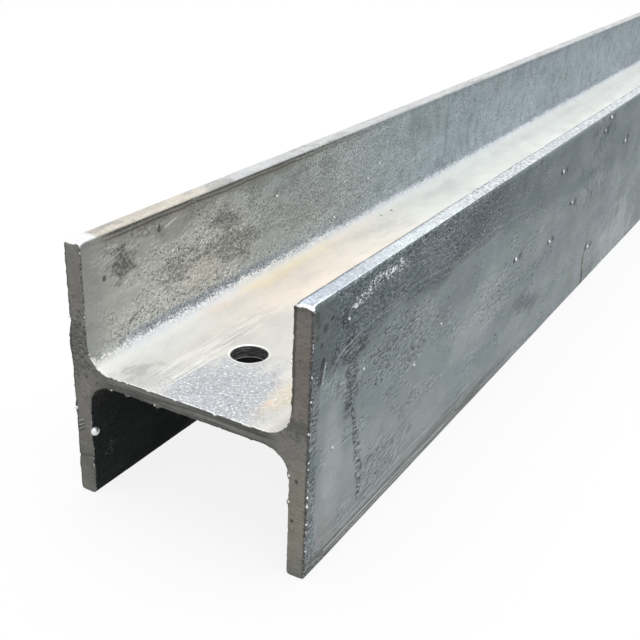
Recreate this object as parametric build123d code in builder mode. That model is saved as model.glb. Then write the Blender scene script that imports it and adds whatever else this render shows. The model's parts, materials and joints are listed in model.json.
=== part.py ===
from build123d import *
import os

# A length of rolled steel H section, lying with its web level.
# It runs along X, its depth over the flanges is along Y, and it stands on its flange toes at Z = 0.
# The origin is under the middle of its length.

# Driving dimensions, in millimetres
LENGTH = 1200.0
SECTION_DEPTH = 97.0
FLANGE_WIDTH = 99.0
FLANGE_THICKNESS = 7.0
WEB_THICKNESS = 5.0
ROOT_RADIUS = 10.0
TOE_RADIUS = 1.5
END_EDGE_BREAK = 0.4

# The hole through the web: its place is taken from the sawn end and from the middle of the web
HOLE_DIAMETER = 14.0
HOLE_FROM_END = 42.0
HOLE_OFF_CENTRE = 2.0

# Worked out from the driving dimensions
HOLE_END_X = -LENGTH / 2
WEB_HEIGHT = FLANGE_WIDTH / 2
FLANGE_CENTRE = (SECTION_DEPTH - FLANGE_THICKNESS) / 2

hole_end = Plane.YZ.offset(HOLE_END_X)

with BuildPart() as h_beam:
    # The rolled section: two flanges on edge, joined by the web between them
    with BuildSketch(hole_end) as section:
        with Locations((-FLANGE_CENTRE, WEB_HEIGHT), (FLANGE_CENTRE, WEB_HEIGHT)):
            Rectangle(FLANGE_THICKNESS, FLANGE_WIDTH)
        with Locations((0, WEB_HEIGHT)):
            Rectangle(2 * FLANGE_CENTRE, WEB_THICKNESS)

        # The four inside corners where the web runs into the flanges
        root_corners = section.vertices().group_by(Axis.Y)[1:-1]
        fillet([corner for level in root_corners for corner in level], ROOT_RADIUS)

        # The eight corners of the flange toes
        levels = section.vertices().group_by(Axis.Y)
        fillet(levels[0] + levels[-1], TOE_RADIUS)
    extrude(amount=LENGTH)

    # The sawn ends, with their edges just broken
    sawn_ends = h_beam.faces().filter_by(Axis.X)
    chamfer(sawn_ends.edges(), END_EDGE_BREAK)

    # The hole through the web
    with Locations((HOLE_END_X + HOLE_FROM_END, HOLE_OFF_CENTRE, WEB_HEIGHT)):
        Hole(HOLE_DIAMETER / 2)

h_beam.part.label = "h_beam"

os.makedirs("parts", exist_ok=True)
export_step(h_beam.part, "parts/h_beam.step")
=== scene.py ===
"""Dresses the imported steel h-beam in a galvanised skin, with its sawn ends and its drilled hole."""

import json
import math
import random

import bmesh
import bpy
from mathutils import Euler, Matrix, Vector, kdtree, noise


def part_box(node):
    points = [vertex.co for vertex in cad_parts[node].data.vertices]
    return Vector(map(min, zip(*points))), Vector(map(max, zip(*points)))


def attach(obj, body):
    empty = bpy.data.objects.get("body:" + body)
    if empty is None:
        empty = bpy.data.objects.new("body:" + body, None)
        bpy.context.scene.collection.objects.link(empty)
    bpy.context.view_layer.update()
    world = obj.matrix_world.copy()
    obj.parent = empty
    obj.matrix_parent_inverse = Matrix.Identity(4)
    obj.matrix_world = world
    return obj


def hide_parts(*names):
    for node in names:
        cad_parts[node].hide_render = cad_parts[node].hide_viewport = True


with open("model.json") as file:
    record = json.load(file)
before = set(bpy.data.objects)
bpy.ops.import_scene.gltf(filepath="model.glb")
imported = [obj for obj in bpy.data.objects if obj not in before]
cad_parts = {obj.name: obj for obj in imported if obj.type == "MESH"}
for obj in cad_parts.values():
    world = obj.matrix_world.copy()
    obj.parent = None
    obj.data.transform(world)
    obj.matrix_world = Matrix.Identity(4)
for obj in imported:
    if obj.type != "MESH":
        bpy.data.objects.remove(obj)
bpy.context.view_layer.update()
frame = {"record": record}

MM = 0.001

# The beam's box comes from the frame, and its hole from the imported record
beam_low, beam_high = (Vector(corner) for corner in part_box("h_beam"))
LENGTH = beam_high.x - beam_low.x
DEPTH = beam_high.y - beam_low.y
WIDTH = beam_high.z - beam_low.z
DRILLED_END = beam_low.x
PLAIN_END = beam_high.x
HOLE = next(m for m in frame["record"]["mounts"] if m["name"] == "web_hole")
HOLE_X, HOLE_Y = HOLE["pos_m"][:2]
HOLE_RADIUS = HOLE["dims"]["r_mm"] * MM
WEB = HOLE["dims"]["length_mm"] * MM

# The rest of the rolled section, as in the part's source
FLANGE = 7 * MM
ROOT_RADIUS = 10 * MM
TOE_RADIUS = 1.5 * MM
END_EDGE = 0.45 * MM
WEB_MIDDLE = WIDTH / 2
GAP = DEPTH / 2 - FLANGE

# How fine the skin's mesh is
ROOT_STEPS = 8
TOE_STEPS = 3
EDGE_STEPS = 2
FLANGE_STEP = 3 * MM
WEB_STEP = 2 * MM
RING_STEP = 2 * MM
WIDEST_RING = 8 * MM
RING_GROWTH = 1.05
FINE_REACH = 120 * MM
FIRST_RING = 1 * MM
LAST_RINGS = (3 * MM, 1 * MM, 0)
CLEAR_OF_LAST = 6 * MM
WEB_CUTS = 15
HOLE_PATCH = 12 * MM
HOLE_RINGS = 5
SAME_PLACE = 1e-6
RIM_EDGE = 0.35 * MM
NEAR_END = 7 * MM
AT_END = 1.2 * MM
REFINED = ((NEAR_END, 1.2 * MM), (AT_END, 0.8 * MM))

# Relief of the zinc skin
WAVE_HEIGHT = 0.12 * MM
WAVE_SIZE = 22 * MM
LUMP_HEIGHT = 0.05 * MM
LUMP_SIZE = 6 * MM
BURR_HEIGHT = 0.5 * MM
BURR_SIZE = 1.7 * MM
BURR_REACH = 1.0 * MM
BURR_QUIET = 0.22
FINE_BURR_SIZE = 0.35 * BURR_SIZE
FINE_BURR_SHARE = 0.4

random.seed(7)


def ring_places():
    """Places of the rings along the beam: even by the hole, then wider, and close again at the plain end."""
    even = [i * RING_STEP for i in range(1, round(FINE_REACH / RING_STEP) + 1)]
    places = [0, FIRST_RING] + even
    step = RING_STEP
    while places[-1] < LENGTH - CLEAR_OF_LAST:
        step = min(step * RING_GROWTH, WIDEST_RING)
        places.append(places[-1] + step)
    return places[:-1] + [LENGTH - from_end for from_end in LAST_RINGS]


def cut(bm, place, normal):
    """Cuts every face along one plane."""
    everything = bm.verts[:] + bm.edges[:] + bm.faces[:]
    bmesh.ops.bisect_plane(bm, geom=everything, dist=SAME_PLACE, plane_co=place, plane_no=normal)


def section_face(bm):
    """The H-shaped section at the drilled end, with rounded roots and toes, cut into a grid."""
    half_depth, half_web = DEPTH / 2, WEB / 2
    right_half = [
        (half_depth, 0),
        (half_depth, WIDTH),
        (GAP, WIDTH),
        (GAP, WEB_MIDDLE + half_web),
    ]
    upper_left = [(-GAP, WEB_MIDDLE + half_web), (-GAP, WIDTH), (-half_depth, WIDTH)]
    lower_left = [(-half_depth, 0), (-GAP, 0), (-GAP, WEB_MIDDLE - half_web)]
    lower_right = [(GAP, WEB_MIDDLE - half_web), (GAP, 0)]
    outline = right_half + upper_left + lower_left + lower_right
    corners = [bm.verts.new((DRILLED_END, y, z)) for y, z in outline]
    bm.faces.new(corners)
    toes = [v for v in corners if v.co.z < MM or v.co.z > WIDTH - MM]
    roots = [v for v in corners if v not in toes]
    for points, radius, steps in ((roots, ROOT_RADIUS, ROOT_STEPS), (toes, TOE_RADIUS, TOE_STEPS)):
        bmesh.ops.bevel(
            bm, geom=points, offset=radius, segments=steps, profile=0.5, affect="VERTICES", material=-1
        )
    level = FLANGE_STEP
    while level < WIDTH:
        cut(bm, (DRILLED_END, 0, level), (0, 0, 1))
        level += FLANGE_STEP
    across = -WEB_CUTS * WEB_STEP
    while across < (WEB_CUTS + 0.5) * WEB_STEP:
        cut(bm, (DRILLED_END, across, 0), (0, 1, 0))
        across += WEB_STEP
    cut(bm, (DRILLED_END, DEPTH / 2 - FLANGE / 2, 0), (0, 1, 0))
    cut(bm, (DRILLED_END, -DEPTH / 2 + FLANGE / 2, 0), (0, 1, 0))


def draw_out(bm, edges):
    """Draws edges out into new faces: the new vertices, and the new edges between them."""
    drawn = bmesh.ops.extrude_edge_only(bm, edges=edges)["geom"]
    moved = [v for v in drawn if isinstance(v, bmesh.types.BMVert)]
    ends = set(moved)
    new_edges = [e for e in drawn if isinstance(e, bmesh.types.BMEdge)]
    return moved, [e for e in new_edges if e.verts[0] in ends and e.verts[1] in ends]


def run_out(bm):
    """Draws the section's outline along the beam, ring by ring, and caps the plain end."""
    cap = bm.faces[:]
    outline = [e for e in bm.edges if e.is_boundary]
    for there in ring_places()[1:]:
        moved, outline = draw_out(bm, outline)
        for v in moved:
            v.co.x = DRILLED_END + there
    copied = bmesh.ops.duplicate(bm, geom=cap)["geom"]
    for v in copied:
        if isinstance(v, bmesh.types.BMVert):
            v.co.x = PLAIN_END
    bmesh.ops.remove_doubles(bm, verts=bm.verts, dist=SAME_PLACE)
    bmesh.ops.recalc_face_normals(bm, faces=bm.faces)


def at_place(vert, x):
    return abs(vert.co.x - x) < SAME_PLACE


def break_end_edges(bm):
    """Rounds the outline of both sawn ends."""
    for x in (DRILLED_END, PLAIN_END):
        rim = [
            e
            for e in bm.edges
            if all(at_place(v, x) for v in e.verts)
            and any(not all(at_place(v, x) for v in f.verts) for f in e.link_faces)
        ]
        bmesh.ops.bevel(
            bm, geom=rim, offset=END_EDGE, segments=EDGE_STEPS, profile=0.5, affect="EDGES", material=-1
        )


def on_rim(vert, surface):
    from_hole = math.hypot(vert.co.x - HOLE_X, vert.co.y - HOLE_Y)
    return abs(from_hole - HOLE_RADIUS) < SAME_PLACE and abs(vert.co.z - surface) < SAME_PLACE


def drill(bm):
    """Opens the hole: a square patch of the web, above and below, gives way to a round rim and a wall."""
    upper, lower = WEB_MIDDLE + WEB / 2, WEB_MIDDLE - WEB / 2
    for surface in (lower, upper):
        patch = []
        for f in bm.faces:
            middle = f.calc_center_median()
            inside = abs(middle.x - HOLE_X) < HOLE_PATCH and abs(middle.y - HOLE_Y) < HOLE_PATCH
            if inside and abs(middle.z - surface) < SAME_PLACE:
                patch.append(f)
        edges = {e for f in patch for e in f.edges}
        border = [e for e in edges if sum(f in patch for f in e.link_faces) == 1]
        bmesh.ops.delete(bm, geom=patch, context="FACES")
        centre = Vector((HOLE_X, HOLE_Y, surface))
        for rings_left in range(HOLE_RINGS, 0, -1):
            moved, border = draw_out(bm, border)
            for v in moved:
                v.co.z = surface
                at_rim = centre + (v.co - centre).normalized() * HOLE_RADIUS
                v.co = v.co.lerp(at_rim, 1 / rings_left)
    moved, _ = draw_out(bm, border)
    for v in moved:
        v.co.z = lower
    bmesh.ops.remove_doubles(bm, verts=bm.verts, dist=SAME_PLACE)
    bmesh.ops.recalc_face_normals(bm, faces=bm.faces)
    for surface in (lower, upper):
        rim = [e for e in bm.edges if all(on_rim(v, surface) for v in e.verts)]
        bmesh.ops.bevel(
            bm, geom=rim, offset=RIM_EDGE, segments=EDGE_STEPS, profile=0.5, affect="EDGES", material=-1
        )


def refine_ends(bm):
    """Divides the faces by the drilled end, so that burrs have room."""
    for reach, longest in REFINED:
        near = [
            e
            for e in bm.edges
            if all(v.co.x < DRILLED_END + reach for v in e.verts) and e.calc_length() > longest
        ]
        bmesh.ops.subdivide_edges(bm, edges=near, cuts=1, use_grid_fill=True)
    bmesh.ops.triangulate(bm, faces=[f for f in bm.faces if len(f.verts) > 4])


def bell(distance, reach):
    """1 at no distance, 0 at reach, smooth between."""
    t = max(0.0, 1 - (distance / reach) ** 2)
    return t * t


# Humps and nicks of the zinc at the drilled end, in millimetres: place, reach and push along, across and up
SWELLINGS = [
    ((1.0, 48.5, 60.5), (5.0, 4.0, 8.0), (0, 0.9, 0)),
    ((0.0, 48.5, 69.5), (2.0, 2.0, 1.6), (0, -0.7, 0)),
    ((0.0, 48.5, 35.0), (3.0, 3.0, 3.0), (0, 0.5, 0)),
    ((0.0, 42.0, 38.0), (4.0, 3.0, 4.0), (0, -0.6, -0.2)),
    ((0.0, 41.5, 20.0), (3.0, 2.0, 4.0), (0, -0.3, 0)),
    ((0.0, 48.5, 15.0), (3.0, 2.0, 1.5), (0, -0.4, 0)),
    ((0.0, -48.5, 57.0), (2.2, 2.0, 2.5), (-0.3, -0.5, 0)),
    ((0.0, -41.5, 39.0), (2.0, 2.0, 2.0), (-0.2, 0.5, 0)),
    ((0.0, -41.5, 28.8), (2.0, 2.0, 1.3), (-0.2, 0.6, 0)),
    ((0.0, 10.7, 47.0), (2.0, 1.6, 2.0), (-0.3, 0, -0.5)),
    ((0.0, 24.3, 47.0), (2.0, 1.4, 2.0), (-0.3, 0, -0.6)),
    ((0.0, 31.7, 47.0), (2.0, 1.4, 2.0), (-0.3, 0, -0.5)),
    ((0.0, -12.5, 52.0), (2.0, 1.5, 2.0), (0.3, 0, -0.5)),
    ((0.0, 45.0, 99.0), (3.0, 7.0, 3.0), (0.15, 0, -0.9)),
    ((0.0, -45.0, 99.0), (3.0, 7.0, 3.0), (0.15, 0, -0.9)),
]


# How straight along the beam the skin faces on a sawn end
ON_SAWN_FACE = 0.95


def weather(bm):
    """Moves the skin by a fraction of a millimetre: long waves, small lumps, burrs on the sawn edges."""
    bm.normal_update()
    moves = []
    for v in bm.verts:
        p = v.co
        wave = noise.noise(p / WAVE_SIZE) * WAVE_HEIGHT + noise.noise(p / LUMP_SIZE) * LUMP_HEIGHT
        from_end = min(p.x - DRILLED_END, PLAIN_END - p.x)
        edge = 0.0 if abs(v.normal.x) > ON_SAWN_FACE else bell(from_end, BURR_REACH)
        rough = noise.noise(p / BURR_SIZE) + FINE_BURR_SHARE * noise.noise(p / FINE_BURR_SIZE)
        burr = math.copysign(max(0.0, abs(rough) - BURR_QUIET), rough)
        move = v.normal * (wave + burr * BURR_HEIGHT * edge)
        if p.x < DRILLED_END + NEAR_END:
            for place, reach, push in SWELLINGS:
                centre = Vector((DRILLED_END, 0, 0)) + Vector(place) * MM
                away = Vector((p[i] - centre[i]) / (reach[i] * MM) for i in range(3)).length
                move = move + Vector(push) * MM * bell(away, 1)
        moves.append(move)
    for v, move in zip(bm.verts, moves):
        v.co += move
        v.co.z = max(v.co.z, 0)


# Zinc drops seen in the photo, in millimetres: along, across, up from the drilled end, then radius
DROPS_AT_END = [
    (0.4, 40.2, 27.2, 1.75),
    (0.0, 48.0, 34.6, 0.8),
    (0.1, -41.3, 79.3, 0.55),
    (0.1, 48.4, 70.6, 0.5),
    (0.2, -48.5, 76.0, 0.3),
    (0.2, -48.5, 67.6, 0.35),
    (0.0, -48.3, 56.4, 0.5),
    (0.2, -48.5, 45.8, 0.3),
    (0.2, -48.5, 43.5, 0.3),
    (0.2, -48.5, 32.9, 0.4),
    (0.2, -48.5, 29.4, 0.4),
    (0.2, -48.5, 22.5, 0.35),
    (0.2, -48.5, 11.9, 0.3),
    (0.0, -41.7, 39.0, 0.45),
    (0.0, -41.8, 29.0, 0.45),
    (0.0, 12.0, 47.2, 0.4),
    (0.1, 31.0, 47.1, 0.35),
]
DROPS_ON_NEAR_FLANGE = [
    (181.5, 56.3, 0.8),
    (231.8, 49.7, 0.8),
    (310, 23.3, 0.8),
    (239, 83.7, 0.7),
    (263, 61.8, 0.6),
    (360, 74.5, 0.8),
    (318, 96, 0.8),
    (309, 90.5, 0.6),
    (34.6, 64.1, 0.5),
    (76.1, 47.8, 0.5),
    (22, 87.2, 0.5),
    (15.3, 43.6, 0.45),
    (98.9, 55.8, 0.5),
]
DROPS_ON_FAR_FLANGE = [(121, 84, 0.6), (173, 60, 0.7), (207, 71.6, 0.6)]
SCATTERED_DROPS = 46
SCATTER_FROM_END = 50 * MM
SCATTER_FROM_PLAIN_END = 10 * MM
SCATTER_LOW = (4 * MM, 34 * MM)
SCATTER_HIGH = (66 * MM, 96 * MM)
SCATTER_RADIUS = (0.35, 0.8)

# How wide and how tall a drop may be for its length
DROP_ACROSS, DROP_UP = (0.8, 1), (0.9, 1.25)

# Across the beam, in millimetres: the near flange's outer face, and the far flange's inner one
NEAR_FACE, FAR_WALL = -48.5, 41.5


def drop_places():
    """The drops seen in the photo, and others scattered over the rest of the flanges in the same way."""
    seen = list(DROPS_AT_END)
    seen += [(along, NEAR_FACE, up, radius) for along, up, radius in DROPS_ON_NEAR_FLANGE]
    seen += [(along, FAR_WALL, up, radius) for along, up, radius in DROPS_ON_FAR_FLANGE]
    drops = [(Vector((x * MM + DRILLED_END, y * MM, z * MM)), radius * MM) for x, y, z, radius in seen]
    for _ in range(SCATTERED_DROPS):
        across = random.choice((-DEPTH / 2, DEPTH / 2, -GAP, GAP))
        along = random.uniform(DRILLED_END + SCATTER_FROM_END, PLAIN_END - SCATTER_FROM_PLAIN_END)
        up = random.choice((random.uniform(*SCATTER_LOW), random.uniform(*SCATTER_HIGH)))
        drops.append((Vector((along, across, up)), random.uniform(*SCATTER_RADIUS) * MM))
    return drops


def joined_mesh(name, skin, extra):
    """One closed mesh of the skin and the drops, welded by a union."""
    base = bpy.data.objects.new(name + "_skin", skin)
    added = bpy.data.objects.new(name + "_drops", extra)
    for o in (base, added):
        bpy.context.scene.collection.objects.link(o)
    union = base.modifiers.new("union", "BOOLEAN")
    union.operation = "UNION"
    union.solver = "EXACT"
    union.object = added
    depsgraph = bpy.context.evaluated_depsgraph_get()
    mesh = bpy.data.meshes.new_from_object(base.evaluated_get(depsgraph))
    for o in (base, added):
        bpy.data.objects.remove(o)
    mesh.name = name
    return mesh


def beam_mesh(drops):
    """The whole galvanised beam, with the drops of zinc on it."""
    bm = bmesh.new()
    section_face(bm)
    run_out(bm)
    break_end_edges(bm)
    drill(bm)
    refine_ends(bm)
    weather(bm)
    skin = bpy.data.meshes.new("skin")
    bm.to_mesh(skin)
    bm.free()
    balls = bmesh.new()
    for place, radius in drops:
        squash = Matrix.Diagonal((1, random.uniform(*DROP_ACROSS), random.uniform(*DROP_UP), 1))
        bmesh.ops.create_icosphere(
            balls, subdivisions=2, radius=radius, matrix=Matrix.Translation(place) @ squash
        )
    extra = bpy.data.meshes.new("drops")
    balls.to_mesh(extra)
    balls.free()
    return joined_mesh("galvanised_beam", skin, extra)


# Which finish each face wears
OUTER, CHANNEL, UNDER, TOE, SAWN, PITTED_EDGE, HIGHLIGHT_EDGE, BORE, DROP = range(9)

# How far each finish reaches from a sawn end, and how steeply its faces turn
SAWN_DEPTH = 0.6 * MM
EDGE_DEPTH = 0.9 * MM
FLAT_ON_END = 0.9
ROUND_THE_END = 0.25
TURNED_UP = 0.35
TURNED_IN = 0.3
ACROSS_THE_HOLE = 0.2
FAR_TOE_TURN = 0.5
NEAR_TOE_TURN = 0.8

# A drop's faces turn away from its middle, and lie about its radius from there
TURNED_AWAY = 0.7
DROP_NEAREST, DROP_FARTHEST = 0.6, 1.3


def finish_of(middle, normal):
    """The finish of a face, by where it lies and which way it faces."""
    from_end = min(middle.x - DRILLED_END, PLAIN_END - middle.x)
    from_hole = math.hypot(middle.x - HOLE_X, middle.y - HOLE_Y)
    if from_hole < HOLE_RADIUS + RIM_EDGE and abs(middle.z - WEB_MIDDLE) < WEB:
        # The hole's rim takes the painted highlight
        return BORE if abs(normal.z) < ACROSS_THE_HOLE else HIGHLIGHT_EDGE
    if abs(normal.x) > FLAT_ON_END and from_end < SAWN_DEPTH:
        return SAWN
    if abs(normal.x) > ROUND_THE_END and from_end < EDGE_DEPTH:
        # Sawn-end edges that face up take the painted highlight, the others the dark pitted finish
        inside_near_flange = middle.z > WEB_MIDDLE and middle.y < 0 and normal.y > TURNED_IN
        return HIGHLIGHT_EDGE if normal.z > TURNED_UP or inside_near_flange else PITTED_EDGE
    if middle.z < TOE_RADIUS or middle.z > WIDTH - TOE_RADIUS:
        if abs(normal.z) > (FAR_TOE_TURN if middle.y > 0 else NEAR_TOE_TURN):
            return TOE
    if abs(middle.y) > GAP + FLANGE / 2:
        return OUTER
    return CHANNEL if middle.z > WEB_MIDDLE else UNDER


def give_finishes(mesh, drops):
    """Sets the finish of every face, those of the zinc drops first."""
    tree = kdtree.KDTree(len(drops))
    for i, (place, _) in enumerate(drops):
        tree.insert(place, i)
    tree.balance()
    for face in mesh.polygons:
        place, i, distance = tree.find(face.center)
        radius = drops[i][1]
        outward = face.normal.dot(face.center - place) > TURNED_AWAY * distance
        on_drop = outward and DROP_NEAREST * radius < distance < DROP_FARTHEST * radius
        face.material_index = DROP if on_drop else finish_of(face.center, face.normal)
        face.use_smooth = True


class Nodes:
    """Adds shader nodes to one tree."""

    def __init__(self, tree):
        self.tree = tree

    def put(self, socket, value):
        if isinstance(value, bpy.types.NodeSocket):
            self.tree.links.new(value, socket)
        elif value is not None:
            socket.default_value = value

    def add(self, kind, inputs=None, **settings):
        node = self.tree.nodes.new(kind)
        for name, value in settings.items():
            setattr(node, name, value)
        for name, value in (inputs or {}).items():
            self.put(node.inputs[name], value)
        return node

    def math(self, operation, a, b=None):
        node = self.add("ShaderNodeMath", operation=operation)
        for socket, value in zip(node.inputs, (a, b)):
            self.put(socket, value)
        return node.outputs[0]

    def plus(self, a, b):
        return self.math("ADD", a, b)

    def minus(self, a, b):
        return self.math("SUBTRACT", a, b)

    def held(self, value):
        """value, held between 0 and 1. The nodes' own clamps overfill the renderer's memory."""
        return self.math("MAXIMUM", self.math("MINIMUM", value, 1.0), 0.0)

    def times(self, *values):
        result = values[0]
        for value in values[1:]:
            result = self.math("MULTIPLY", result, value)
        return result

    def vector(self, operation, a, b=None):
        node = self.add("ShaderNodeVectorMath", operation=operation)
        self.put(node.inputs[0], a)
        self.put(node.inputs[1], b)
        return node.outputs["Value" if operation in ("LENGTH", "DOT_PRODUCT") else "Vector"]

    def scaled(self, vector, scale):
        node = self.add("ShaderNodeVectorMath", {"Vector": vector, "Scale": scale}, operation="SCALE")
        return node.outputs["Vector"]

    def span(self, value, start, end, low=0.0, high=1.0):
        """value from start to end, as low to high, smooth and held at both ends."""
        node = self.add(
            "ShaderNodeMapRange",
            {"Value": value, "From Min": start, "From Max": end, "To Min": low, "To Max": high},
            interpolation_type="SMOOTHSTEP",
        )
        return node.outputs["Result"]

    def mix(self, factor, a, b, blend="MIX"):
        node = self.add("ShaderNodeMix", data_type="RGBA", blend_type=blend, clamp_factor=True)
        for socket, value in ((0, factor), (6, a), (7, b)):
            if isinstance(value, tuple):
                value = (*value, 1)
            self.put(node.inputs[socket], value)
        return node.outputs[2]

    def noise(self, place, scale, detail=3.0, rough=0.6, warp=0.0):
        node = self.add(
            "ShaderNodeTexNoise",
            {"Vector": place, "Scale": scale, "Detail": detail, "Roughness": rough, "Distortion": warp},
        )
        return node.outputs["Fac"]

    def group(self, name, **inputs):
        node = self.add("ShaderNodeGroup", node_tree=bpy.data.node_groups[name])
        for key, value in inputs.items():
            self.put(node.inputs[key.replace("_", " ").capitalize()], value)
        return node.outputs


VALUE, VECTOR = "NodeSocketFloat", "NodeSocketVector"


def new_group(name, inputs, outputs):
    """An empty shader node group with these sockets: its nodes, its inputs and its output node."""
    tree = bpy.data.node_groups.new(name, "ShaderNodeTree")
    for label, default in inputs.items():
        kind = VALUE if isinstance(default, float) else VECTOR
        socket = tree.interface.new_socket(name=label, in_out="INPUT", socket_type=kind)
        socket.default_value = default
    for label in outputs:
        tree.interface.new_socket(name=label, in_out="OUTPUT", socket_type=VALUE)
    nodes = Nodes(tree)
    return nodes, nodes.add("NodeGroupInput").outputs, nodes.add("NodeGroupOutput").inputs


HERE = (0.0, 0.0, 0.0)
# The painted light on the grain falls from this way
TOWARDS_LIGHT = (-0.2, 0.0, 0.35)

# How far clouds and grain sway a tone, the darkest tone each may give, and how high they stand. SLOPE_SWAY
# sways the painted light and shade on the grains' slopes
CLOUD_SWAY = 9.0
SLOPE_SWAY, HEIGHT_SWAY = 3.4, 2.2
DARKEST_CLOUD, DARKEST_GRAIN = 0.25, 0.2
BLOTCH_RELIEF, GRAIN_RELIEF = 0.35, 0.3

# Pits lie under one level of the noise and sparks, painted glints, over another. Gather brings both levels
# nearer
PIT_LEVEL, SPARK_LEVEL = 0.29, 0.76
PIT_GATHER, SPARK_GATHER = 0.15, 0.13
SOFT_EDGE = 0.06
# The lip below a pit is a painted highlight
TO_THE_LIP = (0.35, 0.0, 0.5)
LIP_SHARE = 0.7
ELSEWHERE = (37.0, 11.0, 5.0)
SPARK_FINENESS = 1.3

# The share of a spot's reach and of a scratch's width where it is whole
SPOT_CORE, SCRATCH_CORE = 0.4, 0.3


def uneven_group():
    """Broad unevenness of the zinc: a tone about 1 from clouds and blotches, and a height in millimetres."""
    g, given, out = new_group(
        "uneven zinc",
        {"Place": HERE, "Cloud size": 38.0, "Cloud depth": 0.1, "Blotch depth": 0.1},
        ["Tone", "Height"],
    )
    cloud = g.noise(given["Place"], g.math("DIVIDE", 1.0, given["Cloud size"]), 3.0, 0.55, 0.5)
    blotch = g.noise(given["Place"], 1 / 6.0, warp=0.6)
    tone = 1.0
    for value, depth in ((cloud, "Cloud depth"), (blotch, "Blotch depth")):
        swing = g.times(g.minus(value, 0.5), given[depth], CLOUD_SWAY)
        tone = g.plus(swing, tone)
    g.put(out["Tone"], g.math("MAXIMUM", tone, DARKEST_CLOUD))
    g.put(out["Height"], g.times(blotch, BLOTCH_RELIEF))


def grain_group():
    """Pebbly grain with painted light on the upper sides and painted shade below: a tone about 1, as strong
    as Gather, and a height.
    """
    g, given, out = new_group(
        "zinc grain", {"Place": HERE, "Size": 1.2, "Gather": 0.3, "Depth": 0.3}, ["Tone", "Height"]
    )
    scale = g.math("DIVIDE", 1.0, given["Size"])
    above = g.vector("ADD", given["Place"], g.scaled(TOWARDS_LIGHT, given["Size"]))
    grit = g.noise(given["Place"], scale, 3.0, 0.7, 0.5)
    grit_above = g.noise(above, scale, 3.0, 0.7, 0.5)
    # Painted light and shade: each grain is lighter where it slopes towards the light
    painted_slope_light = g.times(g.minus(grit, grit_above), SLOPE_SWAY)
    relief = g.times(g.minus(grit, 0.5), HEIGHT_SWAY)
    swing = g.times(g.plus(painted_slope_light, relief), given["Gather"])
    g.put(out["Tone"], g.math("MAXIMUM", g.plus(swing, 1.0), DARKEST_GRAIN))
    g.put(out["Height"], g.times(relief, given["Depth"], GRAIN_RELIEF))


def pits_group():
    """Dark pits with a painted highlight on the lip below each, and bright grains painted as glints: more of
    them where Gather is high.
    """
    g, given, out = new_group(
        "pits and sparkle", {"Place": HERE, "Size": 1.2, "Gather": 0.3}, ["Dark", "Bright"]
    )
    scale = g.math("DIVIDE", 1.0, given["Size"])
    deep = g.plus(PIT_LEVEL, g.times(given["Gather"], PIT_GATHER))
    deepest = g.minus(deep, SOFT_EDGE)
    pits = g.noise(given["Place"], scale, 2.0, 0.65, 1.0)
    dark = g.span(pits, deep, deepest)
    # Painted highlight on the lip below each pit
    lips = g.noise(g.vector("ADD", given["Place"], TO_THE_LIP), scale, 2.0, 0.65, 1.0)
    painted_lip_highlight = g.times(g.span(lips, deep, deepest), g.minus(1.0, dark), LIP_SHARE)
    # The sparks are painted glints
    spark_place = g.vector("ADD", given["Place"], ELSEWHERE)
    sparks = g.noise(spark_place, g.times(scale, SPARK_FINENESS), 1.0, 0.5)
    high = g.minus(SPARK_LEVEL, g.times(given["Gather"], SPARK_GATHER))
    spark = g.span(sparks, high, g.plus(high, SOFT_EDGE))
    g.put(out["Dark"], dark)
    g.put(out["Bright"], g.math("MAXIMUM", painted_lip_highlight, spark))


def spot_group():
    """A soft spot of a given reach along each axis. Pull frays its edge."""
    g, given, out = new_group(
        "soft spot", {"Place": HERE, "Centre": HERE, "Reach": (1.0, 1.0, 1.0), "Pull": 0.0}, ["Mask"]
    )
    away = g.vector("SUBTRACT", given["Place"], given["Centre"])
    distance = g.vector("LENGTH", g.vector("DIVIDE", away, given["Reach"]))
    g.put(out["Mask"], g.span(g.plus(distance, given["Pull"]), 1.0, SPOT_CORE))


def scratch_group():
    """A thin mark from one point to another. Bend moves it sideways, and it breaks where Strength is low."""
    g, given, out = new_group(
        "scratch",
        {"Place": HERE, "Start": HERE, "End": HERE, "Width": 0.5, "Bend": 0.0, "Strength": 1.0},
        ["Mask"],
    )
    sideways = g.add("ShaderNodeCombineXYZ", {"X": given["Bend"], "Z": given["Bend"]}).outputs[0]
    way = g.vector("SUBTRACT", given["End"], given["Start"])
    from_start = g.vector("SUBTRACT", g.vector("ADD", given["Place"], sideways), given["Start"])
    along = g.vector("DOT_PRODUCT", from_start, way)
    share = g.held(g.math("DIVIDE", along, g.vector("DOT_PRODUCT", way, way)))
    distance = g.vector("LENGTH", g.vector("SUBTRACT", from_start, g.scaled(way, share)))
    line = g.span(distance, given["Width"], g.times(given["Width"], SCRATCH_CORE))
    g.put(out["Mask"], g.times(line, g.span(given["Strength"], -SOFT_EDGE, SOFT_EDGE)))


def lines_group():
    """Fine lines drawn out along one axis: Stretch is the length of a mark along each axis."""
    g, given, out = new_group(
        "drawn lines", {"Place": HERE, "Stretch": (1.0, 1.0, 1.0), "Sharp": 0.5}, ["Value"]
    )
    lines = g.noise(g.vector("DIVIDE", given["Place"], given["Stretch"]), 1.0)
    spread = g.times(g.minus(lines, 0.5), given["Sharp"], 6.0)
    g.put(out["Value"], g.held(g.plus(spread, 0.5)))


# Patches and grain are drawn out along the beam
DRAWN_OUT = (0.45, 1.0, 1.0)

# How metallic bare, shiny zinc is
BARE_METAL = 0.95

# Sizes of the noises that marks share, in millimetres, and how far these push a mark's edge
FINE, MIDDLE, BROAD = 3.0, 8.0, 18.0
PUSH = 4

# Sizes of crumbs and of patches of sheen, in millimetres
CRUMB_SIZE, SHEEN_SIZE = 1.6, 12.0

# How strong a mark is where its noise is at rest
WHOLE = 0.2

# The painted shadow under a bright score lies this much below it, in millimetres
UNDER_SCORE = (0.2, -0.35, -0.5)


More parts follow.
